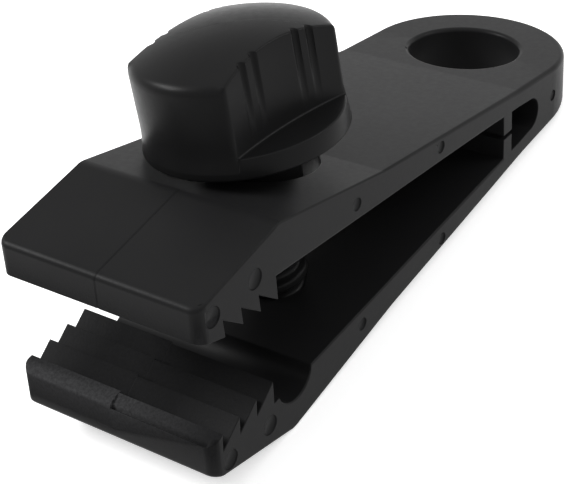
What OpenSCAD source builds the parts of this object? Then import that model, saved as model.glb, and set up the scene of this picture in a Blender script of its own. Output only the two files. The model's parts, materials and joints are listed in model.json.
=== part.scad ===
// Screw-down tarp clip: one springy black moulding with two toothed arms,
// a tie ring at its back and a wing-headed thumb screw that draws the arms together.
// Millimetres, +X towards the mouth, +Z up, origin at the centre of the tie hole.
// The clip lies on the outer face of its lower arm, open, as it comes off a sheet.

/* [Moulding] */
// Width of both arms, and diameter of the tie ring
body_w = 40; // [36:1:46]
// Diameter of the tie hole
tie_hole_d = 22; // [18:0.5:24]
// Thickness of the ring at its rear edge
ring_rear_h = 8.8; // [8:0.2:10]
// Thickness of the ring at the middle of the tie hole
ring_h = 11.7; // [11:0.2:13]
// Height across both arms where the ring ends
ring_front_h = 14.6; // [14:0.2:16]
// Distance from the tie hole's centre to the front of the ring
ring_front = 14; // [13.6:0.2:14.6]
// Distance from the tie hole's centre to the rounded end of the slot
slot_start = 6.2; // [5:0.2:7]
// Distance from the tie hole's centre to the middle of the fulcrum ribs
fulcrum_x = 18.6; // [18:0.2:20]
// Thickness of each fulcrum rib
rib_t = 3.2; // [2.4:0.2:3.6]
// Gap between the two fulcrum ribs while the clip is open
rib_gap = 0.85; // [0.7:0.05:1.2]
// Length of the strap that flexes between the ring and the upper jaw
strap_l = 2.6; // [2:0.2:2.8]

/* [Jaws] */
// Angle that the arms stand apart
open_deg = 10.4; // [8:0.1:11]
// Half of the gap between the arms when they are closed
inner_w = 4.3; // [4:0.1:4.6]
// Distance from the fulcrum to the bend in the arm's outer face
bend_u = 45; // [42:1:48]
// Height of that bend over the closed clip's middle plane
bend_w = 10; // [9.6:0.1:10.6]
// Distance from the fulcrum to the shoulder of the jaw
shoulder_u = 74.6; // [73:0.2:76]
// Height of the shoulder over the middle plane
shoulder_w = 13.1; // [12.4:0.1:13.8]
// Radius of the shoulder
shoulder_r = 5; // [2:0.5:7]
// Distance from the fulcrum to the nose
nose_u = 95; // [94:0.2:97]
// Height of the top of the nose over the middle plane
nose_w = 7.2; // [6.4:0.1:8]
// Radius along the top of the nose
nose_r = 1; // [0.4:0.1:1.6]
// Radius of the nose's upright corners, seen from above
corner_r = 2.4; // [1:0.2:4]
// How far the foot of the nose steps back
nose_back = 0.5; // [0.2:0.1:0.8]
// Height of the foot of the nose over the middle plane
lip_w = 1.2; // [1:0.1:1.6]

/* [Teeth] */
// Number of teeth on each jaw
teeth = 4; // [3:1:4]
// Distance from one tooth to the next
tooth_pitch = 4.5; // [4.2:0.1:4.7]
// Depth of the notches between the teeth
tooth_depth = 3.1; // [2.6:0.1:3.6]
// How far a tooth leans back over its notch
tooth_hook = 0.5; // [0:0.1:0.8]
// Distance from the upper jaw's nose to its first tooth
tooth_first = 6.4; // [6:0.1:6.6]
// How far the lower teeth stand ahead of the upper ones
tooth_step = 3; // [2.7:0.1:3.2]
// Radius of the hollow behind the lower teeth
scallop_r = 4.7; // [4:0.1:5]
// Distance from the last lower tooth back to the middle of the hollow
scallop_back = 5.5; // [5.2:0.1:6]
// Height of the middle of the hollow over the middle plane
scallop_w = 3.1; // [2.6:0.1:3.6]

/* [Thumb screw] */
// Distance from the fulcrum to the screw's axis inside the lower arm
screw_u = 52.6; // [52:0.1:53.4]
// How far the loose screw stands off the centre line there
screw_y = 2.2; // [1:0.1:2.6]
// Lean of the loose screw towards the ring
back_lean = 3.6; // [2.6:0.1:4]
// Lean of the loose screw towards the far flank
side_lean = 5.5; // [3:0.1:6]
// Outer diameter of the thread
thread_d = 12; // [11.6:0.1:12.4]
// Depth of the thread
thread_depth = 1.2; // [1:0.1:1.4]
// Pitch of the thread
thread_pitch = 4; // [3:0.5:4]
// Radial clearance of the thread in the lower arm
thread_gap = 0.5; // [0.45:0.05:0.6]
// Diameter of the plain core inside the neck
core_d = 8.6; // [8:0.1:9]
// Reach of the stem past the middle of the lower arm's thickness
stem_reach = 2.1; // [1.6:0.1:2.4]
// Diameter of the stem's plain tip
tip_d = 9; // [8:0.1:9.2]
// Length of the stem's plain tip
tip_l = 1.2; // [0.6:0.1:2]
// How far the middle of the hole in the upper arm lies ahead of the screw
hole_ahead = 1.6; // [1.2:0.1:2]
// Diameter of that hole, in which the screw can lean
hole_d = 22.8; // [22.4:0.1:23.2]
// Gap between the knob's rim and the upper arm where they nearly touch
seat_gap = 0.35; // [0.3:0.05:0.6]

/* [Neck] */
// Diameter of the round neck under the knob
neck_d = 16; // [14.4:0.1:16.2]
// Length of the neck
neck_l = 12; // [10:0.2:13]
// Running clearance of the neck round the core
neck_fit = 0.08; // [0.05:0.01:0.1]
// End play of the neck
neck_play = 0.15; // [0.1:0.05:0.3]

/* [Knob] */
// Diameter of the knob's disc at its lower rim
disc_d = 35.3; // [34:0.1:36]
// Thickness of the disc
disc_h = 3.5; // [3:0.1:4.5]
// How far the disc's side draws in towards its upper rim
disc_taper = 0.5; // [0.3:0.1:0.8]
// How far the wing's ends stand in from that upper rim
end_step = 0.15; // [0.1:0.05:0.4]
// Height of the wing's domed middle over the disc's underside
wing_h = 19.7; // [18:0.1:21]
// How much lower the dome runs out at the wing's ends
wing_crown = 4; // [3:0.1:5]
// Width of the wing at its waist
wing_waist = 20.2; // [18:0.1:21]
// Width of the wing at its ends
wing_end = 22.6; // [21.4:0.1:24]
// Width of the grip grooves in the wing's sides
groove_w = 1.3; // [1:0.1:2]
// Distance from the screw's axis to the first groove of a pair
groove_x = 4.8; // [4:0.1:6]
// Distance between the two grooves of a pair
groove_step = 2.9; // [2.4:0.1:3.4]
// Lean of the grooves, which makes them fade out downwards
groove_lean = 3; // [2.5:0.1:3.4]
// Turn of the wing away from the clip's length while the clip is open
wing_turn = -8; // [-60:1:60]

/* [Ejector marks] */
// Diameter of the large marks near the teeth
big_mark_d = 3.4; // [2.6:0.2:4]
// Diameter of the small marks along the arms
small_mark_d = 2.2; // [1.6:0.2:3]
// Depth of the marks
mark_depth = 0.3; // [0.2:0.05:0.5]

/* [Hidden] */
$fn = 96;

// Cuts run past a face by this much
over = 1;
// Steps in a rounded corner of an outline
arc_steps = 6;
// Corners round the thread, and slices in one turn of it
thread_sides = 16;
thread_slices = 10;
// Shares of a turn that the thread's flank, crest and root take
flank_share = 0.25;
crest_share = 0.25;
// Steps along one hollow side of the wing
wing_steps = 12;
// Share of the ring's height that the slot's round end takes
slot_h_share = 0.56;
// Shares of the nose's distance at which the ejector marks lie on the arms
big_mark_shares = [0.96, 0.85];
small_mark_shares = [0.555, 0.27];

half_open = open_deg / 2;
ring_r = body_w / 2;
slot_r = ring_h * slot_h_share / 2;
thread_r = thread_d / 2;
mid_w = (inner_w + bend_w) / 2;
hole_u = screw_u + hole_ahead;
disc_r = disc_d / 2;
rim_r = disc_r - disc_taper;
wing_r = rim_r - end_step;
wing_reach = sqrt(wing_r * wing_r - wing_end * wing_end / 4);

// A point of the open clip's side view, measured from the tie hole, in one arm's own closed frame
function in_arm(x, z) =
    [(x - fulcrum_x) * cos(half_open) + z * sin(half_open),
     z * cos(half_open) - (x - fulcrum_x) * sin(half_open)];
// A point of the arm's frame on the plane where the ring ends, at a given height
function ring_end(w) =
    [(ring_front - fulcrum_x + w * sin(half_open)) / cos(half_open), w];

// The clip lies on the rear edge of its ring and on the lower jaw's shoulder
rear_low = in_arm(-ring_r, ring_rear_h / 2);
lie_deg = atan((shoulder_w - rear_low[1]) / (shoulder_u - rear_low[0]));
ring_deg = lie_deg + half_open;
fulcrum = [fulcrum_x * cos(ring_deg), 0, fulcrum_x * sin(ring_deg)];

// The knob's lower rim keeps the seat gap over the open upper arm's outer face
face_deg = open_deg + atan((shoulder_w - bend_w) / (shoulder_u - bend_u));
face_up = [-sin(face_deg), 0, cos(face_deg)];
open_bend = [bend_u * cos(open_deg) - bend_w * sin(open_deg), 0,
    bend_u * sin(open_deg) + bend_w * cos(open_deg)];
screw_foot = [screw_u, screw_y, -mid_w];
screw_up = [-cos(side_lean) * sin(back_lean), -sin(side_lean), cos(side_lean) * cos(back_lean)];
aligned = screw_up * face_up;
knob_base = (seat_gap + disc_r * sqrt(1 - aligned * aligned)
    - (screw_foot - open_bend) * face_up) / aligned;
neck_base = knob_base - neck_play - neck_l;

// Unit vector from one point towards another
function towards(a, b) = (b - a) / norm(b - a);
// Points of a corner rounded to radius r
function rounded(before, corner, after, r) =
    let (in = towards(corner, before), out = towards(corner, after),
         half = acos(in * out) / 2, centre = corner + (in + out) / norm(in + out) * r / sin(half),
         first = corner + in * r / tan(half) - centre, last = corner + out * r / tan(half) - centre,
         a = atan2(first[1], first[0]), turn = atan2(first[0] * last[1] - first[1] * last[0], first * last))
    [for (i = [0:arc_steps]) centre + r * [cos(a + turn * i / arc_steps), sin(a + turn * i / arc_steps)]];

// Tips and notches of one tooth row, from the nose back
function tooth_row(first_u) =
    [for (i = [0:teeth - 1]) for (deep = [false, true])
        let (tip_u = first_u - i * tooth_pitch)
        deep ? [tip_u + tooth_hook, i < teeth - 1 ? tooth_depth : inner_w] : [tip_u, 0]];

// Side view of one arm in its closed frame: along the arm, and away from the middle plane
module arm_outline(first_u) {
    root = in_arm(ring_front, ring_front_h / 2);
    bend = [bend_u, bend_w];
    shoulder = [shoulder_u, shoulder_w];
    nose = [nose_u, nose_w];
    foot = [nose_u - nose_back, lip_w];
    polygon(concat(
        [ring_end(inner_w), root, bend],
        rounded(bend, shoulder, nose, shoulder_r),
        rounded(shoulder, nose, foot, nose_r),
        [foot],
        tooth_row(first_u)));
}

// Stands a side view upright and gives it the clip's width
module across(width) {
    rotate([90, 0, 0]) linear_extrude(width, center = true) children();
}

// Places a side view's children in the frame of the ring, the lower arm or the upper arm
module at_ring() { rotate([0, -ring_deg, 0]) children(); }
module at_lower() { translate(fulcrum) rotate([0, -lie_deg, 0]) children(); }
module at_upper() { translate(fulcrum) rotate([0, -lie_deg - open_deg, 0]) children(); }
module at_screw() {
    at_lower() translate(screw_foot) rotate([side_lean, -back_lean, 0]) children();
}

// Plan of the nose with its rounded corners, as tall as the clip is wide
module nose_plan() {
    linear_extrude(body_w, center = true)
        union() {
            translate([-body_w, -body_w / 2]) square([nose_u - corner_r + body_w, body_w]);
            translate([0, corner_r - body_w / 2]) square([nose_u + over, body_w - 2 * corner_r]);
            for (side = [-1, 1])
                translate([nose_u - corner_r, side * (body_w / 2 - corner_r)]) circle(corner_r);
        }
}

// Round marks of the ejector pins on both flanks of an arm
module arm_marks() {
    for (side = [-1, 1]) {
        for (share = big_mark_shares) mark_at(share, side, big_mark_d);
        for (share = small_mark_shares) mark_at(share, side, small_mark_d);
    }
}

module mark_at(share, side, d) {
    u = share * nose_u;
    top_w = u > shoulder_u
        ? shoulder_w + (nose_w - shoulder_w) * (u - shoulder_u) / (nose_u - shoulder_u)
        : bend_w;
    translate([u, side * body_w / 2, (inner_w + top_w) / 2])
        rotate([90, 0, 0]) cylinder(h = 2 * mark_depth, d = d, center = true);
}

// One whole arm, from the ring's front to the nose
module arm(first_u) {
    difference() {
        intersection() {
            across(body_w) arm_outline(first_u);
            nose_plan();
        }
        arm_marks();
    }
}

// Everything of the open clip that lies behind a distance from the tie hole
module behind(x) {
    at_ring() translate([x - body_w, 0, 0]) cube([2 * body_w, body_w + 2 * over, 2 * body_w], center = true);
}

// The rib that the arm rocks on, over or under the middle plane
module fulcrum_rib(side) {
    at_ring() translate([fulcrum_x, 0, side * (rib_gap + inner_w) / 2])
        cube([rib_t, body_w, inner_w], center = true);
}

// Thread seen along its axis: the radius steps from root to crest round one turn
function thread_radius(share, grow) =
    let (rise = min(share, 1 - share) - crest_share / 2)
    thread_r + grow - thread_depth * max(0, min(1, rise / flank_share));

module thread(low, high, grow) {
    turns = (high - low) / thread_pitch;
    translate([0, 0, low]) rotate([0, 0, 360 * low / thread_pitch])
        linear_extrude(high - low, twist = -360 * turns,
            slices = ceil(turns * thread_slices), $fn = thread_sides)
            polygon([for (i = [0:thread_sides - 1])
                thread_radius(i / thread_sides, grow)
                    * [cos(360 * i / thread_sides), sin(360 * i / thread_sides)]]);
}

// Side view of the slot between the two halves of the ring
module slot_outline() {
    translate([slot_start + slot_r, 0]) circle(slot_r);
    gap = ring_end(inner_w)[0] * sin(half_open) + inner_w * cos(half_open);
    polygon([
        [slot_start + slot_r, slot_r], [ring_front, gap], [ring_front + over, gap],
        [ring_front + over, -gap], [ring_front, -gap], [slot_start + slot_r, -slot_r]]);
}

module tie_ring() {
    color("#2b2b2d") at_ring() difference() {
        intersection() {
            across(body_w) polygon([
                [-ring_r, ring_rear_h / 2], [0, ring_h / 2], [ring_front, ring_front_h / 2],
                [ring_front, -ring_front_h / 2], [0, -ring_h / 2], [-ring_r, -ring_rear_h / 2]]);
            union() {
                cylinder(h = body_w, r = ring_r, center = true);
                translate([ring_front / 2, 0, 0]) cube([ring_front, body_w, body_w], center = true);
            }
        }
        cylinder(h = body_w, d = tie_hole_d, center = true);
        across(body_w + 2 * over) slot_outline();
        for (side = [-1, 1])
            translate([0, side * ring_r, 0]) rotate([90, 0, 0])
                cylinder(h = 2 * mark_depth, d = small_mark_d, center = true);
    }
}

module lower_jaw() {
    first_u = nose_u - tooth_first + tooth_step;
    last_u = first_u - (teeth - 1) * tooth_pitch;
    color("#2b2b2d") union() {
        difference() {
            at_lower() mirror([0, 0, 1]) arm(first_u);
            at_lower() translate([last_u - scallop_back, 0, -scallop_w]) rotate([90, 0, 0])
                cylinder(h = body_w + 2 * over, r = scallop_r, center = true);
            at_screw() thread(-mid_w, inner_w, thread_gap);
        }
        fulcrum_rib(-1);
    }
}

module upper_jaw() {
    color("#2b2b2d") union() {
        difference() {
            at_upper() arm(nose_u - tooth_first);
            behind(ring_front + strap_l);
            at_upper() translate([hole_u, 0, 0]) cylinder(h = shoulder_w, d = hole_d);
        }
        fulcrum_rib(1);
    }
}

module flex_strap() {
    color("#2b2b2d") intersection() {
        at_upper() arm(nose_u - tooth_first);
        behind(ring_front + strap_l);
    }
}

module screw_stem() {
    color("#242426") at_screw() union() {
        cylinder(h = knob_base, d = core_d);
        thread(tip_l - stem_reach, neck_base - neck_play, 0);
        translate([0, 0, -stem_reach]) cylinder(h = 2 * tip_l, d = tip_d);
    }
}

module screw_neck() {
    color("#242426") at_screw() translate([0, 0, neck_base]) difference() {
        cylinder(h = neck_l, d = neck_d);
        translate([0, 0, -over]) cylinder(h = neck_l + 2 * over, d = core_d + 2 * neck_fit);
    }
}

// One hollow side of the wing, at a share of the way to its corner
function wing_side(share, side) =
    [share * wing_reach, side * (wing_waist + (wing_end - wing_waist) * share * share) / 2];

// Plan of the wing: hollow sides, and round ends
module wing_plan() {
    intersection() {
        circle(wing_r);
        union() {
            polygon(concat(
                [for (i = [-wing_steps:wing_steps]) wing_side(i / wing_steps, 1)],
                [for (i = [wing_steps:-1:-wing_steps]) wing_side(i / wing_steps, -1)]));
            for (end = [-1, 1])
                translate([end * (wing_reach + wing_r) / 2, 0])
                    square([wing_r - wing_reach, wing_end], center = true);
        }
    }
}

module wing_groove(x, side) {
    wall = wing_side(x / wing_reach, side);
    translate([wall[0], wall[1] + side * groove_w / 2, disc_h + end_step])
        rotate([side * groove_lean, 0, 0]) cylinder(h = wing_h, d = groove_w);
}

module thumb_knob() {
    crown_r = (wing_r * wing_r + wing_crown * wing_crown) / (2 * wing_crown);
    color("#2b2b2d") at_screw() translate([0, 0, knob_base]) rotate([0, 0, wing_turn]) union() {
        cylinder(h = disc_h, r1 = disc_r, r2 = rim_r);
        difference() {
            intersection() {
                linear_extrude(wing_h) wing_plan();
                translate([0, 0, wing_h - crown_r]) sphere(crown_r, $fn = 2 * $fn);
            }
            for (end = [-1, 1]) for (side = [-1, 1]) for (i = [0, 1])
                wing_groove(end * (groove_x + i * groove_step), side);
        }
    }
}

tie_ring();
lower_jaw();
upper_jaw();
flex_strap();
screw_stem();
screw_neck();
thumb_knob();
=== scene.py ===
import json
import math

import bmesh
import bpy
from mathutils import Matrix, Vector


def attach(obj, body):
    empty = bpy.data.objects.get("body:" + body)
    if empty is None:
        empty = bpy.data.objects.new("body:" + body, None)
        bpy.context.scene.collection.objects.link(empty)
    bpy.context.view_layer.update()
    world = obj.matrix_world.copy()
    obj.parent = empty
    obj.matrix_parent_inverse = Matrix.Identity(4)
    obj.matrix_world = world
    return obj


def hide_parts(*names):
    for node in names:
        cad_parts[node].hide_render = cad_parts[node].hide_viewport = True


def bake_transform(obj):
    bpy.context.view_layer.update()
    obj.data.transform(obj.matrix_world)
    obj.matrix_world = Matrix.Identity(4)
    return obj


bl_info = {
    "name": "Tarp clip with thumb screw",
    "version": (1, 0, 0),
    "blender": (4, 5, 0),
    "location": "View3D > Sidebar > Tarp clip",
    "description": "Dresses the packed tarp clip: moulding, thumb screw and studio",
    "category": "Object",
}

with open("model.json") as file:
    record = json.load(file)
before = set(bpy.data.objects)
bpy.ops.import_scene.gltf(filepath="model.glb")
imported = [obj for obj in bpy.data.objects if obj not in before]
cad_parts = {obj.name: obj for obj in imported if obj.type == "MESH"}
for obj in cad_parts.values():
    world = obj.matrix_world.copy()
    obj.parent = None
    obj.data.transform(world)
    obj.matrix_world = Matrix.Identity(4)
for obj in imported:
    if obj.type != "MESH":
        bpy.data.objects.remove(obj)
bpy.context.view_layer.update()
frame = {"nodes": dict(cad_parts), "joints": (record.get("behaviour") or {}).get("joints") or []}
JOINTS = {joint["name"]: joint for joint in frame["joints"]}

MM = 0.001
TINY = 0.01 * MM
# Distances within which vertices count as one, or as lying on a cutting plane
WELD = 0.002 * MM
SNAP = 0.001 * MM
# Least angle between faces that stay apart when flat faces are joined, in degrees
FLAT_ANGLE = 0.4
# Angles at which edges stay sharp in shading, and from which the moulding's are rounded, in degrees
SHARP_ANGLE = 38
ROUNDED_ANGLE = 40
# Lean of the lower arm, and the angle between the arms, nose up
LIE = math.radians(2.6531)
OPEN = math.radians(10.4)
FULCRUM = Vector(JOINTS["jaw_close"]["pos_m"])

# Distances along the ring's middle plane from the tie hole
RING_FRONT = 14.0 * MM
STRAP_END = 16.6 * MM
LEAF_START = 12.0 * MM
LEAF_END = 18.0 * MM
RIBS_END = 22.0 * MM
SLOT_BACK = 4.0 * MM
# Half the height of the slot with its ribs
SLOT_HALF_H = 5.5 * MM
# Where the ring's larger rounding has run out along the arms, and the length over which it does
TAPER_END = 66.0 * MM
TAPER_LENGTH = 54.0 * MM
# Cuts across the arms that let the rounding taper, in millimetres, and steps over the bending leaf
TAPER_CUTS = (0, 6, 24, 30, 38, 46, 54, 62, 70, 106, 108.5, 111)
LEAF_CUTS = 12

# Side view of an arm in its closed frame: along the arm, and away from the middle plane
SHOULDER = Vector((74.6, 13.1)) * MM
NOSE = Vector((95.0, 7.2)) * MM
FOOT = Vector((94.5, 1.2)) * MM
# Least and most depth of the CAD's ejector marks, and the steps round a mark of the scene
MARK_DEPTHS = (0.1 * MM, 0.5 * MM)
MARK_STEPS = 40
# How the large ejector marks lie in the photograph, beside the CAD's: lower on the upper arm
UPPER_MARK_SHIFT = Vector((0.3, 0, -1.45)) * MM
LOWER_MARK_SHIFT = Vector((-0.3, 0, -0.35)) * MM
# Reach of the ejector marks on the ring's sides
RING_MARK_R = 1.3 * MM
# Where the teeth and the nose begin along an arm
TEETH_START = 72.0 * MM
# How far behind its corners the nose is cut off
NOSE_MARGIN = 0.2 * MM
# Start of the upper arm's parting line, of an arm's front half, and of the block at its nose
PARTING_START = SHOULDER.x - 4.0 * MM
FRONT_HALF = 40.0 * MM
NOSE_BLOCK = FOOT.x - 3.0 * MM
# The lower jaw's foremost tip, and the levels of scuffing and painted light for the far and near half
# before it and behind it
LOWER_CREST = 91.6 * MM
# The far half's larger levels are painted light and the near half's smaller ones painted shade, over the
# scuffing both share
RAMP_WEAR_AND_LIGHT = (4.0, 0.7)
TEETH_WEAR_AND_LIGHT = (0.7, 0.5)
# Lengths over which the scuffing and painted light start behind the teeth and fade out at edges, and
# their top on the nose
WEAR_AND_LIGHT_RISE = 4.0 * MM
WEAR_AND_LIGHT_FADE = 0.3 * MM
NOSE_WEAR_AND_LIGHT_TOP = 1.8 * MM
# The teeth lie between the middle plane and this height
TEETH_HIGH = 4.4 * MM
# The front ramp of the lower jaw: extra rows of edges in millimetres, the span of its lip groove, how
# high and how full the far half's curve is, the width of the step between the halves, and the height
# up to which the far half stands back
RAMP_ROWS = (92.4, 93.6, 93.8, 94.15, 94.3)
LIP_GROOVE_START, LIP_GROOVE_END = 93.7 * MM, 94.2 * MM
CURVE_H = 1.65 * MM
CURVE_POWER = 2.6
STEP_WIDTH = 0.1 * MM
STEP_TOP = 3.2 * MM
# Where the lower jaw's halves start to differ, and where the far one stops standing back
HALVES_START = TEETH_START + 5.0 * MM
HALVES_END = FOOT.x + 0.2 * MM
# Half the clip's width
FLANK = 20.0 * MM

# The screw: its foot in the lower arm's frame, its lean, and heights along its axis
SCREW_FOOT = Vector((52.6, 2.2, -7.15)) * MM
SIDE_LEAN = math.radians(5.5)
BACK_LEAN = math.radians(-3.6)
KNOB_BASE = 32.49 * MM
STEM_LOW = -1.8 * MM
STEM_HIGH = 21.5 * MM
# Distance from the screw's axis within which the lower arm's edges belong to the threaded hole
THREAD_REACH = 7.5 * MM
# Grip grooves beside the wing's middle, and the shares of its height where they start and over which
# they reach their depth
GRIP_GROOVES = (4.8 * MM, 7.7 * MM)
GRIP_START = 0.12
GRIP_RISE = 0.7
# Where the wing's round ends begin before its corners, and the length over which they do
END_LEAD = 0.6 * MM
END_BLEND = 1.6 * MM
# Rings of the wing's mesh: shares of the foot, the wall and the dome, and steps of the top edge
FOOT_SHARES = (0, 0.2, 0.45, 0.7, 1)
WALL_SHARES = (0.12, 0.25, 0.4, 0.55, 0.7, 0.85)
DOME_SHARES = (0.95, 0.88, 0.78, 0.64, 0.48, 0.32, 0.16)
EDGE_STEPS = 6
WING_TURN = math.radians(-8)


def nose_up(angle):
    """A turn about the clip's cross axis that lifts the nose."""
    return Matrix.Rotation(-angle, 4, "Y")


RING = nose_up(LIE + OPEN / 2)
LOWER = Matrix.Translation(FULCRUM) @ nose_up(LIE)
UPPER = Matrix.Translation(FULCRUM) @ nose_up(LIE + OPEN)
SCREW = (
    LOWER
    @ Matrix.Translation(SCREW_FOOT)
    @ Matrix.Rotation(BACK_LEAN, 4, "Y")
    @ Matrix.Rotation(SIDE_LEAN, 4, "X")
)
FROM_LOWER, FROM_UPPER, FROM_RING, FROM_SCREW = (
    place.inverted() for place in (LOWER, UPPER, RING, SCREW)
)
RING_AHEAD = RING.to_3x3() @ Vector((1, 0, 0))


class MouldingSizes(bpy.types.PropertyGroup):
    """Edges and mould marks of the springy moulding."""

    flank_edge: bpy.props.FloatProperty(
        name="Flank edge radius", default=0.32 * MM, unit="LENGTH",
        description="Rounding of the long edges of the arms")
    nose_edge: bpy.props.FloatProperty(
        name="Nose edge radius", default=1.05 * MM, unit="LENGTH",
        description="Rounding along the top of the nose")
    corner: bpy.props.FloatProperty(
        name="Nose corner radius", default=2.0 * MM, unit="LENGTH",
        description="Rounding of the nose's upright corners")
    rear_edge: bpy.props.FloatProperty(
        name="Ring edge radius", default=0.9 * MM, unit="LENGTH",
        description="Rounding of the edges round the ring")
    tooth_edge: bpy.props.FloatProperty(
        name="Tooth edge radius", default=0.14 * MM, unit="LENGTH",
        description="Rounding of the teeth and of the ribs")
    lip_edge: bpy.props.FloatProperty(
        name="Lip edge radius", default=0.07 * MM, unit="LENGTH",
        description="Rounding of the lower jaw's thin lip")
    mark_edge: bpy.props.FloatProperty(
        name="Ejector mark edge radius", default=0.1 * MM, unit="LENGTH",
        description="Rounding of the ejector marks")
    parting_y: bpy.props.FloatProperty(
        name="Parting line of the upper arm", default=0.3 * MM, unit="LENGTH",
        description="Place of the fine groove across the upper arm")
    parting_depth: bpy.props.FloatProperty(
        name="Parting line depth", default=0.2 * MM, unit="LENGTH",
        description="Depth of the fine groove that the mould halves leave")
    parting_width: bpy.props.FloatProperty(
        name="Parting line width", default=0.42 * MM, unit="LENGTH",
        description="Width of the fine groove that the mould halves leave")
    step_y: bpy.props.FloatProperty(
        name="Step of the lower jaw", default=-0.65 * MM, unit="LENGTH",
        description="Place of the step between the two halves of the lower jaw")
    step_back: bpy.props.FloatProperty(
        name="Step back of the far teeth", default=0.45 * MM, unit="LENGTH",
        description="How far the far half of the lower teeth stands back")
    lip_depth: bpy.props.FloatProperty(
        name="Lip groove depth", default=0.75 * MM, unit="LENGTH",
        description="Depth of the groove behind the lower jaw's lip")


class ScrewSizes(bpy.types.PropertyGroup):
    """Sizes of the thumb screw."""

    thread_r: bpy.props.FloatProperty(
        name="Thread radius", default=6 * MM, unit="LENGTH",
        description="Radius over the thread")
    thread_depth: bpy.props.FloatProperty(
        name="Thread depth", default=1.2 * MM, unit="LENGTH",
        description="Depth of the thread")
    pitch: bpy.props.FloatProperty(
        name="Pitch", default=4 * MM, unit="LENGTH",
        description="Rise of the thread in one turn")
    disc_r: bpy.props.FloatProperty(
        name="Disc radius", default=17.65 * MM, unit="LENGTH",
        description="Radius of the disc's lower rim")
    rim_r: bpy.props.FloatProperty(
        name="Upper rim radius", default=17.15 * MM, unit="LENGTH",
        description="Radius of the disc's upper rim")
    disc_h: bpy.props.FloatProperty(
        name="Disc thickness", default=3.5 * MM, unit="LENGTH",
        description="Thickness of the disc")
    wing_h: bpy.props.FloatProperty(
        name="Wing height", default=19.6 * MM, unit="LENGTH",
        description="Height of the wing's domed middle over the disc's underside")
    wing_crown: bpy.props.FloatProperty(
        name="Crown", default=4.0 * MM, unit="LENGTH",
        description="How much lower the dome runs out at the wing's ends")
    wing_waist: bpy.props.FloatProperty(
        name="Wing waist", default=20.2 * MM, unit="LENGTH",
        description="Width of the wing at its waist")
    wing_end: bpy.props.FloatProperty(
        name="Wing end", default=22.6 * MM, unit="LENGTH",
        description="Width of the wing at its ends")
    side_edge: bpy.props.FloatProperty(
        name="Wing side edge radius", default=0.45 * MM, unit="LENGTH",
        description="Rounding of the top edge along the wing's hollow sides")
    end_edge: bpy.props.FloatProperty(
        name="Wing end edge radius", default=2.2 * MM, unit="LENGTH",
        description="Rounding of the top edge round the wing's ends")
    groove_depth: bpy.props.FloatProperty(
        name="Groove depth", default=0.7 * MM, unit="LENGTH",
        description="Depth of the grip grooves at the top")
    groove_w: bpy.props.FloatProperty(
        name="Groove width", default=1.4 * MM, unit="LENGTH",
        description="Width of the grip grooves")
    foot: bpy.props.FloatProperty(
        name="Wing foot radius", default=0.4 * MM, unit="LENGTH",
        description="Fillet between the wing and the disc")


class FinishColours(bpy.types.PropertyGroup):
    """Colours of the plastic."""

    moulding: bpy.props.FloatVectorProperty(
        name="Moulding", subtype="COLOR", size=4, default=(0.009, 0.009, 0.0093, 1),
        description="Colour of the springy moulding")
    screw: bpy.props.FloatVectorProperty(
        name="Thumb screw", subtype="COLOR", size=4, default=(0.0075, 0.0075, 0.0077, 1),
        description="Colour of the thumb screw")


# Meshes


def merged_copy(nodes, drop):
    """CAD nodes as one bmesh of whole flat faces, without the faces that drop finds between them."""
    bm = bmesh.new()
    for name in nodes:
        bm.from_mesh(frame["nodes"][name].data)
    bmesh.ops.remove_doubles(bm, verts=bm.verts, dist=WELD)
    between = [face for face in bm.faces if drop(face)]
    bmesh.ops.delete(bm, geom=between, context="FACES")
    flatten(bm)
    return bm


def flatten(bm):
    """Joins the faces that lie in one plane."""
    bmesh.ops.dissolve_limit(
        bm, angle_limit=math.radians(FLAT_ANGLE), verts=bm.verts, edges=bm.edges, delimit={"NORMAL"})


def whole_geometry(faces):
    """The faces with their vertices and edges, each once and always in the same order."""
    verts = dict.fromkeys(vert for face in faces for vert in face.verts)
    edges = dict.fromkeys(edge for face in faces for edge in face.edges)
    return list(verts) + list(edges) + faces


def slice_at(bm, place, normal, faces=None):
    """Cuts edges into the faces where a plane crosses them."""
    geom = whole_geometry(list(bm.faces) if faces is None else faces)
    bmesh.ops.bisect_plane(bm, geom=geom, plane_co=place, plane_no=normal, dist=SNAP)


def finish_mesh(bm, name, angle=SHARP_ANGLE):
    """A new object of the mesh, smooth but for its sharp edges."""
    bmesh.ops.recalc_face_normals(bm, faces=bm.faces)
    mesh = bpy.data.meshes.new(name)
    bm.to_mesh(mesh)
    bm.free()
    obj = bpy.data.objects.new(name, mesh)
    bpy.context.collection.objects.link(obj)
    for polygon in mesh.polygons:
        polygon.use_smooth = True
    mesh.set_sharp_from_angle(angle=math.radians(angle))
    return obj


def baked(obj):
    """The object with its modifiers applied."""
    bpy.context.view_layer.update()
    shown = obj.evaluated_get(bpy.context.evaluated_depsgraph_get())
    mesh = bpy.data.meshes.new_from_object(shown)
    obj.modifiers.clear()
    obj.data = mesh
    return obj


def weighted_normals(obj):
    """Keeps flat faces flat in shading beside their rounded edges."""
    normals = obj.modifiers.new("Flat faces stay flat", "WEIGHTED_NORMAL")
    normals.keep_sharp = True
    normals.weight = 70


def eased(share):
    """A share from 0 to 1 that starts and ends slowly."""
    share = min(1, max(0, share))
    return share * share * (3 - 2 * share)


# Materials


# Share of the sheen that scuffed plastic keeps, and how much rougher it is
WORN_SHEEN = 0.12
WORN_ROUGHNESS = 0.12


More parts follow.
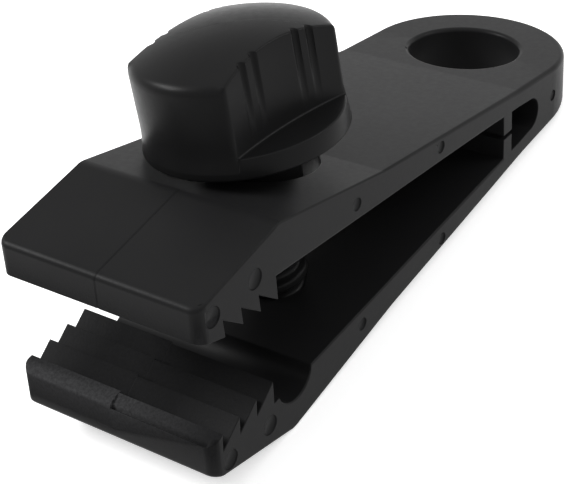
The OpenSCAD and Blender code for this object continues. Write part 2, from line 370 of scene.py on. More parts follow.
def plastic(name, colour, roughness, sheen, grain):
    """Satin black moulded plastic: soft flow marks, fine grain, and scuffed, rougher tooth faces,
    lighter with painted light on the lower jaw's far half and darker with painted shade on its near
    half.
    """
    material = bpy.data.materials.new(name)
    material.use_nodes = True
    tree = material.node_tree
    nodes, links = tree.nodes, tree.links
    nodes.clear()
    out = nodes.new("ShaderNodeOutputMaterial")
    shader = nodes.new("ShaderNodeBsdfPrincipled")
    shader.inputs["IOR"].default_value = 1.46
    links.new(shader.outputs["BSDF"], out.inputs["Surface"])
    place = nodes.new("ShaderNodeTexCoord")
    wear_and_light = nodes.new("ShaderNodeAttribute")
    wear_and_light.attribute_name = "wear_and_light"

    def noise(scale, detail, rough):
        node = nodes.new("ShaderNodeTexNoise")
        node.inputs["Scale"].default_value = scale
        node.inputs["Detail"].default_value = detail
        node.inputs["Roughness"].default_value = rough
        links.new(place.outputs["Object"], node.inputs["Vector"])
        return node.outputs["Fac"]

    def spread(value, low, high, low_in=0.3, high_in=0.7):
        node = nodes.new("ShaderNodeMapRange")
        node.inputs["From Min"].default_value = low_in
        node.inputs["From Max"].default_value = high_in
        node.inputs["To Min"].default_value = low
        node.inputs["To Max"].default_value = high
        links.new(value, node.inputs["Value"])
        return node.outputs["Result"]

    def joined(operation, first, second):
        node = nodes.new("ShaderNodeMath")
        node.operation = operation
        for value, socket in ((first, node.inputs[0]), (second, node.inputs[1])):
            if isinstance(value, (int, float)):
                socket.default_value = value
            else:
                links.new(value, socket)
        return node.outputs["Value"]

    def bump(height, strength, distance, under=None):
        node = nodes.new("ShaderNodeBump")
        node.inputs["Distance"].default_value = distance
        links.new(height, node.inputs["Height"])
        if isinstance(strength, (int, float)):
            node.inputs["Strength"].default_value = strength
        else:
            links.new(strength, node.inputs["Strength"])
        if under:
            links.new(under, node.inputs["Normal"])
        return node.outputs["Normal"]

    flow = noise(scale=60, detail=3, rough=0.5)
    specks = noise(scale=900, detail=2, rough=0.5)
    fine = noise(scale=2600, detail=3, rough=0.6)
    scuffs = noise(scale=2200, detail=4, rough=0.7)
    wear_and_light_field = wear_and_light.outputs["Fac"]
    links.new(spread(wear_and_light_field, sheen, WORN_SHEEN * sheen, 0, 0.5), shader.inputs["Specular IOR Level"])
    # Lightens the base colour by the attribute: real scuffing, plus painted light on the lower jaw's far
    # half
    wear_and_light_lift = joined("MULTIPLY", wear_and_light_field, spread(scuffs, 0.5, 1.3))
    level = joined("ADD", spread(flow, 0.92, 1.08), wear_and_light_lift)
    shade = nodes.new("ShaderNodeVectorMath")
    shade.operation = "SCALE"
    shade.inputs[0].default_value = colour[:3]
    links.new(level, shade.inputs["Scale"])
    links.new(shade.outputs["Vector"], shader.inputs["Base Color"])
    satin = spread(specks, roughness - 0.02, roughness + 0.03)
    links.new(joined("ADD", satin, joined("MULTIPLY", wear_and_light_field, WORN_ROUGHNESS)), shader.inputs["Roughness"])
    grained = bump(fine, grain, 0.03 * MM)
    scuffed = bump(scuffs, joined("MINIMUM", wear_and_light_field, 0.5), 0.16 * MM, grained)
    links.new(bump(flow, 0.12, 0.1 * MM, scuffed), shader.inputs["Normal"])
    return material


# Moulding


def along(point):
    """Distance of a point along the ring from the tie hole, and its height over the middle plane."""
    place = FROM_RING @ point
    return place.x, place.z


def is_upper(point):
    """True over the ring's middle plane."""
    return along(point)[1] > 0


def in_arm(point, upper):
    """A point along the arm, across it, and away from the closed clip's middle plane."""
    place = (FROM_UPPER if upper else FROM_LOWER) @ point
    return Vector((place.x, place.y, place.z if upper else -place.z))


def from_arm(place, upper):
    """The point at a place that in_arm gives."""
    return (UPPER if upper else LOWER) @ Vector((place.x, place.y, place.z if upper else -place.z))


def between_nodes(face):
    """True on the faces between the ring, the strap and the arms."""
    spots = [along(vert.co) for vert in face.verts]
    if all(abs(x - RING_FRONT) < TINY for x, z in spots):
        return True
    return all(abs(x - STRAP_END) < TINY and z > 0 for x, z in spots)


def arm_faces(bm, upper, start):
    """Faces of one arm that reach past a distance along it."""
    return [face for face in bm.faces if is_upper(face.calc_center_median()) == upper
            and max(in_arm(vert.co, upper).x for vert in face.verts) > start]


def bare_flanks(bm):
    """Takes off both flanks with the arms' ejector marks, and gives each mark's middle and radius."""
    shallow, deep = MARK_DEPTHS
    floors = [face for face in bm.faces if len(face.verts) > 6 and all(
        shallow < FLANK - abs(vert.co.y) < deep for vert in face.verts)
        and along(face.calc_center_median())[0] > RING_FRONT]
    gone = dict.fromkeys(
        wall for face in floors for vert in face.verts for wall in vert.link_faces)
    marks = []
    for face in floors:
        middle = face.calc_center_median()
        radius = max((vert.co - middle).length for vert in face.verts)
        spot = in_arm(middle, is_upper(middle))
        if spot.x > TEETH_START:
            spot += UPPER_MARK_SHIFT if is_upper(middle) else LOWER_MARK_SHIFT
            middle = from_arm(spot, is_upper(middle))
        marks.append((middle, radius))
    for side in (1, -1):
        gone.update(dict.fromkeys(face for face in bm.faces if all(
            vert.co.y * side > FLANK - 2 * TINY for vert in face.verts)))
    bmesh.ops.delete(bm, geom=list(gone), context="FACES")
    return marks


def fill_flanks(bm):
    """Closes both flanks with whole flat faces, in millimetres because the fill skips tiny edges."""
    for side in (FLANK, -FLANK):
        rim = [edge for edge in bm.edges if len(edge.link_faces) == 1
               and all(abs(vert.co.y - side) < 2 * TINY for vert in edge.verts)]
        for vert in {vert for edge in rim for vert in edge.verts}:
            vert.co.y = side
        bm.transform(Matrix.Scale(1 / MM, 4))
        bmesh.ops.triangle_fill(
            bm, use_beauty=True, use_dissolve=False, edges=rim, normal=(0, math.copysign(1, side), 0))
        bm.transform(Matrix.Scale(MM, 4))
    bmesh.ops.recalc_face_normals(bm, faces=bm.faces)
    flatten(bm)


def mark_cutter(marks, sizes):
    """Round plugs that cut the ejector marks, with a softened rim."""
    bm = bmesh.new()
    for middle, radius in marks:
        soft = sizes.mark_edge
        out = math.copysign(1, middle.y)
        profile = ((0, 0), (radius - soft, 0), (radius, soft), (radius, FLANK - abs(middle.y) - soft),
                   (radius + soft, FLANK - abs(middle.y)), (radius + soft, MM), (0, MM))
        verts = [bm.verts.new(middle + Vector((r, h * out, 0))) for r, h in profile]
        edges = [bm.edges.new(pair) for pair in zip(verts, verts[1:])]
        bmesh.ops.spin(
            bm, geom=verts + edges, cent=middle, axis=(0, 1, 0), angle=2 * math.pi,
            steps=MARK_STEPS, use_merge=True)
    bmesh.ops.remove_doubles(bm, verts=bm.verts, dist=SNAP)
    return finish_mesh(bm, "mark_cutter")


def square_nose(bm, upper, sizes):
    """Cuts the nose off behind its corners and draws it out again as a plain block."""
    cut = FOOT.x - sizes.corner - NOSE_MARGIN
    place = from_arm(Vector((cut, 0, 0)), upper)
    ahead = (UPPER if upper else LOWER).to_3x3() @ Vector((1, 0, 0))
    geom = whole_geometry(arm_faces(bm, upper, cut))
    bmesh.ops.bisect_plane(
        bm, geom=geom, plane_co=place, plane_no=ahead, clear_outer=True, dist=TINY / 10)
    rim = [edge for edge in bm.edges if len(edge.link_faces) == 1
           and all(abs(in_arm(vert.co, upper).x - cut) < TINY for vert in edge.verts)]
    made = bmesh.ops.extrude_edge_only(bm, edges=rim)["geom"]
    for vert in (part for part in made if isinstance(part, bmesh.types.BMVert)):
        spot = in_arm(vert.co, upper)
        end = NOSE if spot.z > (NOSE.y + FOOT.y) / 2 else FOOT
        vert.co = from_arm(Vector((end.x, spot.y, end.y)), upper)
    lips = [edge for edge in made if isinstance(edge, bmesh.types.BMEdge)
            and all(in_arm(vert.co, upper).x > FOOT.x - TINY for vert in edge.verts)]
    bmesh.ops.bridge_loops(bm, edges=lips)


def round_corners(bm, sizes):
    """Rounds the upright corners of both noses."""
    upright = []
    for edge in bm.edges:
        spots = [in_arm(vert.co, is_upper(vert.co)) for vert in edge.verts]
        ahead = all(spot.x > FOOT.x - TINY for spot in spots)
        if ahead and abs(spots[0].y + spots[1].y) > 2 * (FLANK - TINY):
            upright.append(edge)
    bmesh.ops.bevel(
        bm, geom=upright, offset=sizes.corner, offset_type="OFFSET", affect="EDGES",
        segments=8, profile=0.5, material=-1, clamp_overlap=False)


def slice_across(bm, y, faces=None):
    """Cuts edges along the clip at a distance from its middle."""
    slice_at(bm, Vector((0, y, 0)), Vector((0, 1, 0)), faces)


def parting_groove(bm, sizes):
    """Fine groove over the front of the upper arm, where the mould halves meet."""
    half = sizes.parting_width / 2
    for y in (sizes.parting_y - half, sizes.parting_y, sizes.parting_y + half):
        slice_across(bm, y, [face for face in bm.faces if all(
            on_front(vert.co) for vert in face.verts)])
    bm.normal_update()
    for vert in bm.verts:
        if abs(vert.co.y - sizes.parting_y) < TINY and on_front(vert.co):
            vert.co -= vert.normal * sizes.parting_depth


def on_front(point):
    """True on the sloping front and the nose of the upper arm."""
    spot = in_arm(point, True)
    ahead = spot.x > PARTING_START and is_upper(point)
    return ahead and (spot.z > NOSE.y - TINY or spot.x > FOOT.x - TINY)


def lower_jaw_halves(bm, sizes):
    """The lower jaw's mould halves don't meet: a soft front on the far one, a lip on the near one."""
    slice_across(bm, sizes.step_y - STEP_WIDTH / 2, arm_faces(bm, False, TEETH_START))
    slice_across(bm, sizes.step_y + STEP_WIDTH / 2, arm_faces(bm, False, TEETH_START))
    crest = LOWER_CREST
    ahead = LOWER.to_3x3() @ Vector((1, 0, 0))

    def ramp():
        return [face for face in arm_faces(bm, False, crest + TINY) if all(
            -TINY < in_arm(vert.co, False).z < FOOT.y + TINY
            and in_arm(vert.co, False).x > crest - TINY for vert in face.verts)]

    for row in RAMP_ROWS:
        slice_at(bm, from_arm(Vector((row * MM, 0, 0)), False), ahead, ramp())
    lip_end = FLANK - sizes.corner
    for y in (lip_end, lip_end + sizes.corner / 3):
        slice_across(bm, y, ramp())
    for vert in bm.verts:
        spot = in_arm(vert.co, False)
        if is_upper(vert.co) or spot.x < HALVES_START or spot.z > TEETH_HIGH:
            continue
        on_ramp = spot.x > crest - TINY and spot.z < FOOT.y + TINY
        if vert.co.y < sizes.step_y:
            back = sizes.step_back * eased((HALVES_END - spot.x) / MM)
            spot.x -= back if spot.z < STEP_TOP else 0
            if on_ramp:
                share = (spot.x - crest + sizes.step_back) / (FOOT.x - crest + sizes.step_back)
                share = min(1, max(0, share))
                spot.z = CURVE_H * (1 - math.sqrt(1 - share ** CURVE_POWER))
        elif on_ramp and LIP_GROOVE_START < spot.x < LIP_GROOVE_END and spot.y < lip_end + TINY:
            spot.z += sizes.lip_depth
        vert.co = from_arm(spot, False)


def near_thread(point):
    """True by the threaded hole of the lower arm."""
    spot = FROM_SCREW @ point
    return math.hypot(spot.x, spot.y) < THREAD_REACH and not is_upper(point)


def edge_radius(edge, sizes):
    """Rounding of one sharp edge."""
    middle = (edge.verts[0].co + edge.verts[1].co) / 2
    x, z = along(middle)
    if any(near_thread(vert.co) for vert in edge.verts):
        return 0
    if math.hypot(x, z) < RING_MARK_R:
        return sizes.mark_edge
    spot = in_arm(middle, z > 0)
    if z < 0 and spot.x > LOWER_CREST + MM and spot.z < 2 * FOOT.y:
        return sizes.lip_edge if abs(spot.x - FOOT.x) < TINY * 5 else 0
    if x > STRAP_END and spot.z < TEETH_HIGH + 0.4 * MM and spot.x > FRONT_HALF:
        return sizes.tooth_edge
    if SLOT_BACK < x < RIBS_END and abs(z) < SLOT_HALF_H:
        return sizes.tooth_edge
    if spot.x > NOSE_BLOCK:
        share = abs((edge.verts[1].co - edge.verts[0].co).normalized().y)
        return sizes.flank_edge + (sizes.nose_edge - sizes.flank_edge) * share
    share = eased((TAPER_END - x) / TAPER_LENGTH)
    return sizes.flank_edge + (sizes.rear_edge - sizes.flank_edge) * share


def build_moulding(sizes):
    """Ring, strap and arms as one skin with soft edges."""
    bm = merged_copy(["tie_ring", "lower_jaw", "flex_strap", "upper_jaw"], between_nodes)
    marks = bare_flanks(bm)
    for upper in (True, False):
        square_nose(bm, upper, sizes)
    fill_flanks(bm)
    round_corners(bm, sizes)
    for x in TAPER_CUTS:
        slice_at(bm, RING @ Vector((x * MM, 0, 0)), RING_AHEAD)
    for step in range(LEAF_CUTS + 1):
        x = LEAF_START + (LEAF_END - LEAF_START) * step / LEAF_CUTS
        leaf = [face for face in bm.faces if is_upper(face.calc_center_median())
                and min(along(v.co)[0] for v in face.verts) < x < max(
                    along(v.co)[0] for v in face.verts)]
        slice_at(bm, RING @ Vector((x, 0, 0)), RING_AHEAD, leaf)
    lower_jaw_halves(bm, sizes)
    parting_groove(bm, sizes)
    weight = bm.edges.layers.float.new("bevel_weight_edge")
    for edge in bm.edges:
        if len(edge.link_faces) == 2 and edge.calc_face_angle(0) > math.radians(ROUNDED_ANGLE):
            edge[weight] = edge_radius(edge, sizes) / sizes.nose_edge
    whole = finish_mesh(bm, "moulding")
    bevel = whole.modifiers.new("Soft edges", "BEVEL")
    bevel.limit_method = "WEIGHT"
    bevel.width = sizes.nose_edge
    bevel.segments = 4
    bevel.profile = 0.5
    bevel.use_clamp_overlap = False
    cutter = mark_cutter(marks, sizes)
    recess = whole.modifiers.new("Ejector marks", "BOOLEAN")
    recess.operation = "DIFFERENCE"
    recess.solver = "EXACT"
    recess.object = cutter
    baked(whole)
    bpy.data.objects.remove(cutter)
    return whole


def mark_wear_and_light(mesh):
    """Writes where the teeth are scuffed and rough into the attribute that the plastic reads, higher on
    the lower jaw's far half as painted light and lower on its near half as painted shade.
    """
    wear_and_light_field = mesh.attributes.new("wear_and_light", "FLOAT", "POINT")
    for vert, value in zip(mesh.vertices, wear_and_light_field.data):
        upper = is_upper(vert.co)
        spot = in_arm(vert.co, upper)
        rough = eased((spot.x - TEETH_START) / WEAR_AND_LIGHT_RISE)
        rough *= eased((TEETH_HIGH - spot.z) / WEAR_AND_LIGHT_FADE)
        if spot.x > FOOT.x - WEAR_AND_LIGHT_FADE:
            rough *= eased((NOSE_WEAR_AND_LIGHT_TOP - spot.z) / MM)
        rough *= eased((FLANK - abs(spot.y)) / WEAR_AND_LIGHT_FADE)
        # On the lower jaw the far half gets painted light and the near half painted shade, on top of the
        # scuffing
        if not upper:
            wear_and_light_levels = RAMP_WEAR_AND_LIGHT if spot.x > LOWER_CREST - MM else TEETH_WEAR_AND_LIGHT
            rough *= wear_and_light_levels[spot.y > 0]
        value.value = rough


def in_leaf(face):
    """True on the ring's upper leaf and all that follows it."""
    x, z = along(face.calc_center_median())
    return x > LEAF_START and z > 0


def split_moulding(whole):
    """The moulding as the piece below and the arm above, cut where the ring's upper leaf starts."""
    halves = []
    for name, keep in (("moulding_lower", False), ("moulding_upper", True)):
        bm = bmesh.new()
        bm.from_mesh(whole.data)
        top = [face for face in bm.faces if is_upper(face.calc_center_median())]
        slice_at(bm, RING @ Vector((LEAF_START, 0, 0)), RING_AHEAD, top)
        for vert in bm.verts:
            vert.co.y = max(-FLANK, min(FLANK, vert.co.y))
        gone = [face for face in bm.faces if in_leaf(face) != keep]
        bmesh.ops.delete(bm, geom=gone, context="FACES")
        rim = [edge for edge in bm.edges if len(edge.link_faces) == 1]
        bmesh.ops.edgeloop_fill(bm, edges=rim)
        half = finish_mesh(bm, name)
        mark_wear_and_light(half.data)
        halves.append(half)
    bpy.data.objects.remove(whole)
    return halves


class CLIP_OT_moulding(bpy.types.Operator):
    """Make the springy moulding: ring, strap and both toothed arms"""

    bl_idname = "clip.moulding"
    bl_label = "Moulding"

    def execute(self, context):
        scene = context.scene
        lower, upper = split_moulding(build_moulding(scene.clip_moulding))
        finish = plastic(
            "satin_moulding", scene.clip_colours.moulding, roughness=0.38, sheen=0.07, grain=0.3)
        for piece in (lower, upper):
            piece.data.materials.append(finish)
            weighted_normals(piece)
        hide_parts("tie_ring", "lower_jaw")
        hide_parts("upper_jaw", "flex_strap")
        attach(lower, "lower_body")
        baked(upper)
        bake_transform(upper)
        return {"FINISHED"}


# Thumb screw


def build_stem(sizes):
    """Coarse right-hand thread on a round core."""
    bm = bmesh.new()
    across = 16
    last = None
    for i in range(across + 1):
        swing = 0.5 - 0.5 * math.cos(2 * math.pi * i / across)
        # The crest is wider than the root
        crest = eased(1.2 - 1.25 * swing)
        r = sizes.thread_r - sizes.thread_depth * (1 - crest)
        vert = bm.verts.new((r, 0, (i / across - 2) * sizes.pitch))
        if last is not None:
            bm.edges.new((last, vert))
        last = vert
    per_turn = 48
    turns = 9
    bmesh.ops.spin(
        bm, geom=list(bm.edges), cent=(0, 0, 0), axis=(0, 0, 1),
        dvec=(0, 0, sizes.pitch / per_turn), angle=2 * math.pi * turns,
        steps=per_turn * turns, use_merge=False)
    bmesh.ops.remove_doubles(bm, verts=bm.verts, dist=0.02 * MM)
    for height, outer in ((STEM_LOW, False), (STEM_HIGH, True)):
        bmesh.ops.bisect_plane(
            bm, geom=list(bm.verts) + list(bm.edges) + list(bm.faces),
            plane_co=(0, 0, height), plane_no=(0, 0, 1), clear_outer=outer,
            clear_inner=not outer, dist=0.0001 * MM)
        rim = [edge for edge in bm.edges if len(edge.link_faces) == 1 and all(
            abs(vert.co.z - height) < 0.001 * MM for vert in edge.verts)]
        bmesh.ops.edgeloop_fill(bm, edges=rim)
    bm.transform(SCREW)
    return finish_mesh(bm, "threaded_stem", 60)


class Wing:
    """Plan and heights of the knob's wing, with x along it and y across it."""

    def __init__(self, sizes):
        self.sizes = sizes
        self.half_end = sizes.wing_end / 2
        self.corner = math.sqrt(sizes.rim_r ** 2 - self.half_end ** 2)
        self.ball = (sizes.rim_r ** 2 + sizes.wing_crown ** 2) / (2 * sizes.wing_crown)
        self.plan = self.outline()
        count = len(self.plan)
        self.out = []
        for i in range(count):
            step = self.plan[(i + 2) % count] - self.plan[i - 2]
            self.out.append(Vector((step.y, -step.x, 0)).normalized())

    def outline(self):
        """Hollow sides and round ends, anticlockwise, with a softened corner between them."""
        side, end, rounds = 150, 50, 6
        split = math.atan2(self.half_end, self.corner)
        points = []
        for turn in (0, math.pi):
            for i in range(end):
                a = turn - split + 2 * split * i / end
                points.append(Vector((math.cos(a), math.sin(a), 0)) * self.sizes.rim_r)
            for i in range(side):
                x = self.corner * (1 - 2 * i / side)
                rise = (self.half_end - self.sizes.wing_waist / 2) * (x / self.corner) ** 2
                spot = Vector((x, self.sizes.wing_waist / 2 + rise, 0))
                points.append(spot if turn == 0 else -spot)
        for _ in range(rounds):
            points = [
                (points[i - 1] + 2 * spot + points[(i + 1) % len(points)]) / 4
                for i, spot in enumerate(points)]
        return points

    def end_share(self, i):
        """1 on the round ends of the wing and 0 on its hollow sides."""
        return eased((abs(self.plan[i].x) - self.corner + END_LEAD) / END_BLEND)

    def groove(self, i, z):
        """How far the wall is cut in by the grip grooves, which fade out downwards."""
        spot = self.plan[i]
        cut = 0.0
        for x in GRIP_GROOVES:
            away = abs(abs(spot.x) - x) / (self.sizes.groove_w / 2)
            cut += math.sqrt(1 - away * away) if away < 1 else 0
        rise = (z - self.sizes.disc_h) / (self.sizes.wing_h - self.sizes.disc_h)
        share = min(1, max(0, (rise - GRIP_START) / GRIP_RISE))
        return cut * self.sizes.groove_depth * share

    def crown(self, spot, inset=0.0):
        """Height of the domed top, or of the shell at an inset under it."""
        floor = self.sizes.wing_h - self.ball
        return floor + math.sqrt((self.ball - inset) ** 2 - spot.x ** 2 - spot.y ** 2)

    def edge(self, i):
        """Radius of the top edge."""
        sizes = self.sizes
        return sizes.side_edge + (sizes.end_edge - sizes.side_edge) * self.end_share(i)

    def wall(self, i, z, inset=0.0):
        """A point of the upright wall."""
        spot = self.plan[i] - self.out[i] * (inset + self.groove(i, z))
        return Vector((spot.x, spot.y, z))

    def rounded(self, i, share):
        """A point of the rounded top edge, from the wall at 0 to the dome at 1."""
        radius = self.edge(i)
        top = self.crown(self.plan[i])
        centre = self.plan[i] - self.out[i] * (radius + self.groove(i, top))
        centre.z = self.crown(centre, radius)
        up = centre - Vector((0, 0, self.sizes.wing_h - self.ball))
        return centre + radius * self.out[i].slerp(up.normalized(), share)

    def foot(self, i, share):
        """A point of the fillet at the wing's foot, which on the ends runs down the disc's side."""
        sizes = self.sizes
        a = share * math.pi / 2
        fillet = self.wall(i, sizes.disc_h + sizes.foot * (1 - math.cos(a)),
                           -sizes.foot * (1 - math.sin(a)))
        low = 0.45 * MM
        z = low + (sizes.disc_h + sizes.foot - low) * share
        proud = 0.02 * MM
        side = sizes.disc_r + (sizes.rim_r - sizes.disc_r) * min(1, z / sizes.disc_h) + proud
        slide = self.plan[i].normalized() * side
        end = self.end_share(i)
        if end <= 0:
            return fillet
        if self.plan[i].length < sizes.rim_r - 0.2 * MM:
            return fillet
        return Vector((slide.x, slide.y, z))


def next_ring(bm, ring):
    """Extrudes a closed ring of vertices and returns the new ring in the same order."""
    edges = [bm.edges.get((vert, ring[i - 1])) for i, vert in enumerate(ring)]
    made = bmesh.ops.extrude_edge_only(bm, edges=edges)["geom"]
    new = {part for part in made if isinstance(part, bmesh.types.BMVert)}
    return [next(e.other_vert(vert) for e in vert.link_edges if e.other_vert(vert) in new)
            for vert in ring]


def build_wing(bm, sizes):
    """The wing, drawn up ring by ring from its foot to its dome."""
    wing = Wing(sizes)
    count = len(wing.plan)
    start = sizes.disc_h + sizes.foot
    levels = [lambda i, s=s: wing.foot(i, s) for s in FOOT_SHARES]
    for share in WALL_SHARES:
        levels.append(lambda i, share=share: wing.wall(
            i, start + (wing.rounded(i, 0).z - start) * share))
    for step in range(EDGE_STEPS + 1):
        levels.append(lambda i, step=step: wing.rounded(i, step / EDGE_STEPS))
    for share in DOME_SHARES:
        def dome(i, share=share):
            spot = wing.rounded(i, 1) * share
            return Vector((spot.x, spot.y, wing.crown(spot)))
        levels.append(dome)
    ring = bmesh.ops.create_circle(bm, cap_ends=False, radius=1, segments=count)["verts"]
    ring = sorted(ring, key=lambda vert: math.atan2(vert.co.y, vert.co.x) % (2 * math.pi))
    bottom = ring
    for number, level in enumerate(levels):
        if number:
            ring = next_ring(bm, ring)
        for i, vert in enumerate(ring):
            vert.co = level(i)
    bmesh.ops.contextual_create(bm, geom=bottom)
    top = bmesh.ops.contextual_create(bm, geom=ring)["faces"]
    centre = bmesh.ops.poke(bm, faces=top)["verts"]
    for vert in centre:
        vert.co = Vector((0, 0, sizes.wing_h))


def build_disc(bm, sizes):
    """The disc under the wing, turned from its profile."""
    low, high = 0.35 * MM, 0.28 * MM
    inner = 12 * MM
    arc = [math.pi / 8 * k for k in range(5)]
    profile = [(0, 0), (inner, 0)]
    profile += [(sizes.disc_r - low * (1 - math.sin(a)), low * (1 - math.cos(a))) for a in arc]
    profile += [(sizes.rim_r - high * (1 - math.cos(a)), sizes.disc_h - high * (1 - math.sin(a)))
                for a in arc]
    profile += [(inner, sizes.disc_h), (0, sizes.disc_h)]
    verts = [bm.verts.new((x, 0, z)) for x, z in profile]
    edges = [bm.edges.new(pair) for pair in zip(verts, verts[1:])]
    bmesh.ops.spin(
        bm, geom=verts + edges, cent=(0, 0, 0), axis=(0, 0, 1), angle=2 * math.pi,
        steps=144, use_merge=True)
    bmesh.ops.remove_doubles(bm, verts=bm.verts, dist=SNAP)


class CLIP_OT_thumb_screw(bpy.types.Operator):
    """Make the thumb screw: winged knob, neck and threaded stem"""

    bl_idname = "clip.thumb_screw"
    bl_label = "Thumb screw"

    def execute(self, context):
        scene = context.scene
        sizes = scene.clip_screw
        finish = plastic(
            "satin_screw", scene.clip_colours.screw, roughness=0.33, sheen=0.07, grain=0.25)
        bm = bmesh.new()
        build_wing(bm, sizes)
        build_disc(bm, sizes)
        turn = Matrix.Rotation(WING_TURN, 4, "Z")
        bm.transform(SCREW @ Matrix.Translation((0, 0, KNOB_BASE)) @ turn)
        knob = finish_mesh(bm, "winged_knob", 50)
        knob.data.materials.append(finish)
        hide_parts("thumb_knob")
        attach(knob, "thumb_screw")
        stem = build_stem(sizes)
        stem.data.materials.append(finish)
        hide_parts("screw_stem")
        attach(stem, "thumb_screw")
        neck = frame["nodes"]["screw_neck"]
        for slot in neck.material_slots:
            slot.material = finish
        return {"FINISHED"}


# Studio

CAMERA_PLACE = Vector((228.634, 141.090, 174.265)) * MM
CAMERA_RIGHT = Vector((-0.5577971, 0.8180638, -0.1401213))
CAMERA_DOWN = Vector((0.5775862, 0.2613634, -0.7733585))
CAMERA_AHEAD = Vector((-0.596034, -0.5123093, -0.6182901))
CAMERA_LENS = 98.17
FLOOR = -7.12 * MM
# Strength of the light from all round that the lamps add to
AMBIENT = 0.36
# What brings the lit floor to white where the camera sees it
FLOOR_GLOW = 0.5
FLOOR_REACH = 3.0
LAMP_TARGET = Vector((0.04, 0, 0.01))
# Name, place, width and height in metres, and power in watts
LAMPS = (
    ("overhead", (-0.1, 0.05, 0.9), 1.2, 1.2, 3.6),
    ("rear_left", (-0.9, -0.55, 0.32), 0.9, 0.5, 0.2),
    ("near_side", (0.1, 0.9, 0.35), 0.8, 0.6, 1.2),
    ("front_left", (0.4, -0.68, 0.66), 0.45, 0.22, 8),
    ("rear_right", (-0.5, 0.6, 0.5), 0.4, 0.3, 2.2),
)


def lamp(name, place, width, height, power):
    """A soft rectangular lamp that faces the clip."""
    data = bpy.data.lights.new(name, "AREA")
    data.shape = "RECTANGLE"
    data.size, data.size_y = width, height
    data.energy = power
    turn = (LAMP_TARGET - Vector(place)).to_track_quat("-Z", "Y")
    obj = bpy.data.objects.new(name, data)
    obj.matrix_world = Matrix.Translation(Vector(place)) @ turn.to_matrix().to_4x4()
    bpy.context.collection.objects.link(obj)


def seen_rays(tree):
    """1 for the rays of the camera, mirrors and glass, and 0 for those that light the clip."""
    path = tree.nodes.new("ShaderNodeLightPath")
    seen = path.outputs["Is Camera Ray"]
    for kind in ("Is Glossy Ray", "Is Transmission Ray"):
        either = tree.nodes.new("ShaderNodeMath")
        either.operation = "MAXIMUM"
        tree.links.new(seen, either.inputs[0])
        tree.links.new(path.outputs[kind], either.inputs[1])
        seen = either.outputs["Value"]
    return seen


def floor_material():
    """Pale floor that takes the clip's shadow and is white where it is seen."""
    material = bpy.data.materials.new("white_floor")
    material.use_nodes = True
    tree = material.node_tree
    shader = tree.nodes["Principled BSDF"]
    shader.inputs["Base Color"].default_value = (0.9, 0.9, 0.9, 1)
    shader.inputs["Roughness"].default_value = 0.9
    glow = tree.nodes.new("ShaderNodeEmission")
    glow.inputs["Color"].default_value = (1, 1, 1, 1)
    glow.inputs["Strength"].default_value = FLOOR_GLOW
    both = tree.nodes.new("ShaderNodeAddShader")
    tree.links.new(shader.outputs["BSDF"], both.inputs[0])
    tree.links.new(glow.outputs["Emission"], both.inputs[1])
    mix = tree.nodes.new("ShaderNodeMixShader")
    tree.links.new(seen_rays(tree), mix.inputs["Fac"])
    tree.links.new(shader.outputs["BSDF"], mix.inputs[1])
    tree.links.new(both.outputs["Shader"], mix.inputs[2])
    tree.links.new(mix.outputs["Shader"], tree.nodes["Material Output"].inputs["Surface"])
    return material


def studio_world():
    """Soft light from all round, and white where it is seen."""
    world = bpy.data.worlds.new("studio")
    world.use_nodes = True
    tree = world.node_tree
    soft = tree.nodes["Background"]
    soft.inputs["Color"].default_value = (1, 1, 1, 1)
    soft.inputs["Strength"].default_value = AMBIENT
    white = tree.nodes.new("ShaderNodeBackground")
    white.inputs["Color"].default_value = (1, 1, 1, 1)
    white.inputs["Strength"].default_value = 1
    mix = tree.nodes.new("ShaderNodeMixShader")
    tree.links.new(seen_rays(tree), mix.inputs["Fac"])
    tree.links.new(soft.outputs["Background"], mix.inputs[1])
    tree.links.new(white.outputs["Background"], mix.inputs[2])
    tree.links.new(mix.outputs["Shader"], tree.nodes["World Output"].inputs["Surface"])
    return world


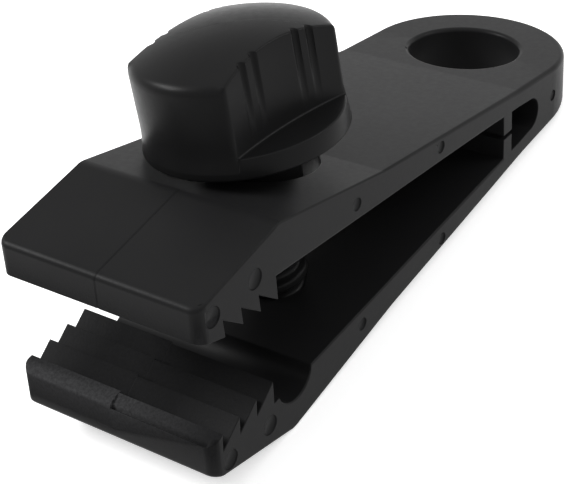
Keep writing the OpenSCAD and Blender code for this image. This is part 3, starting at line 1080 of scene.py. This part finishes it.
class CLIP_OT_studio(bpy.types.Operator):
    """Make the floor, the lamps and the camera"""

    bl_idname = "clip.studio"
    bl_label = "Studio"

    def execute(self, context):
        scene = context.scene
        bm = bmesh.new()
        bmesh.ops.create_grid(bm, x_segments=1, y_segments=1, size=FLOOR_REACH)
        bmesh.ops.translate(bm, verts=bm.verts, vec=(0, 0, FLOOR))
        mesh = bpy.data.meshes.new("floor")
        bm.to_mesh(mesh)
        bm.free()
        floor = bpy.data.objects.new("floor", mesh)
        context.collection.objects.link(floor)
        floor.data.materials.append(floor_material())
        scene.world = studio_world()
        for values in LAMPS:
            lamp(*values)

        data = bpy.data.cameras.new("photograph")
        data.lens = CAMERA_LENS
        data.sensor_width = 36
        data.sensor_fit = "HORIZONTAL"
        data.clip_start = 0.01
        camera = bpy.data.objects.new("photograph", data)
        turn = Matrix((CAMERA_RIGHT, -CAMERA_DOWN, -CAMERA_AHEAD)).transposed()
        camera.matrix_world = Matrix.Translation(CAMERA_PLACE) @ turn.to_4x4()
        context.collection.objects.link(camera)
        scene.camera = camera
        scene.view_settings.view_transform = "Standard"
        return {"FINISHED"}


class CLIP_PT_panel(bpy.types.Panel):
    """Lists the clip's pieces and sizes in the sidebar"""

    bl_label = "Tarp clip"
    bl_idname = "CLIP_PT_panel"
    bl_space_type = "VIEW_3D"
    bl_region_type = "UI"
    bl_category = "Tarp clip"

    def draw(self, context):
        layout = self.layout
        for group, kind in GROUPS:
            box = layout.box()
            for name in kind.__annotations__:
                box.prop(getattr(context.scene, group), name)
        for operator in PIECES:
            layout.operator(operator.bl_idname)


PIECES = (CLIP_OT_moulding, CLIP_OT_thumb_screw, CLIP_OT_studio)
GROUPS = (
    ("clip_moulding", MouldingSizes),
    ("clip_screw", ScrewSizes),
    ("clip_colours", FinishColours),
)


def register():
    for name, kind in GROUPS:
        bpy.utils.register_class(kind)
        setattr(bpy.types.Scene, name, bpy.props.PointerProperty(type=kind))
    for operator in PIECES:
        bpy.utils.register_class(operator)
    bpy.utils.register_class(CLIP_PT_panel)


def unregister():
    bpy.utils.unregister_class(CLIP_PT_panel)
    for operator in reversed(PIECES):
        bpy.utils.unregister_class(operator)
    for name, kind in reversed(GROUPS):
        delattr(bpy.types.Scene, name)
        bpy.utils.unregister_class(kind)


def main():
    register()
    bpy.ops.clip.moulding()
    bpy.ops.clip.thumb_screw()
    bpy.ops.clip.studio()


if __name__ == "__main__":
    main()
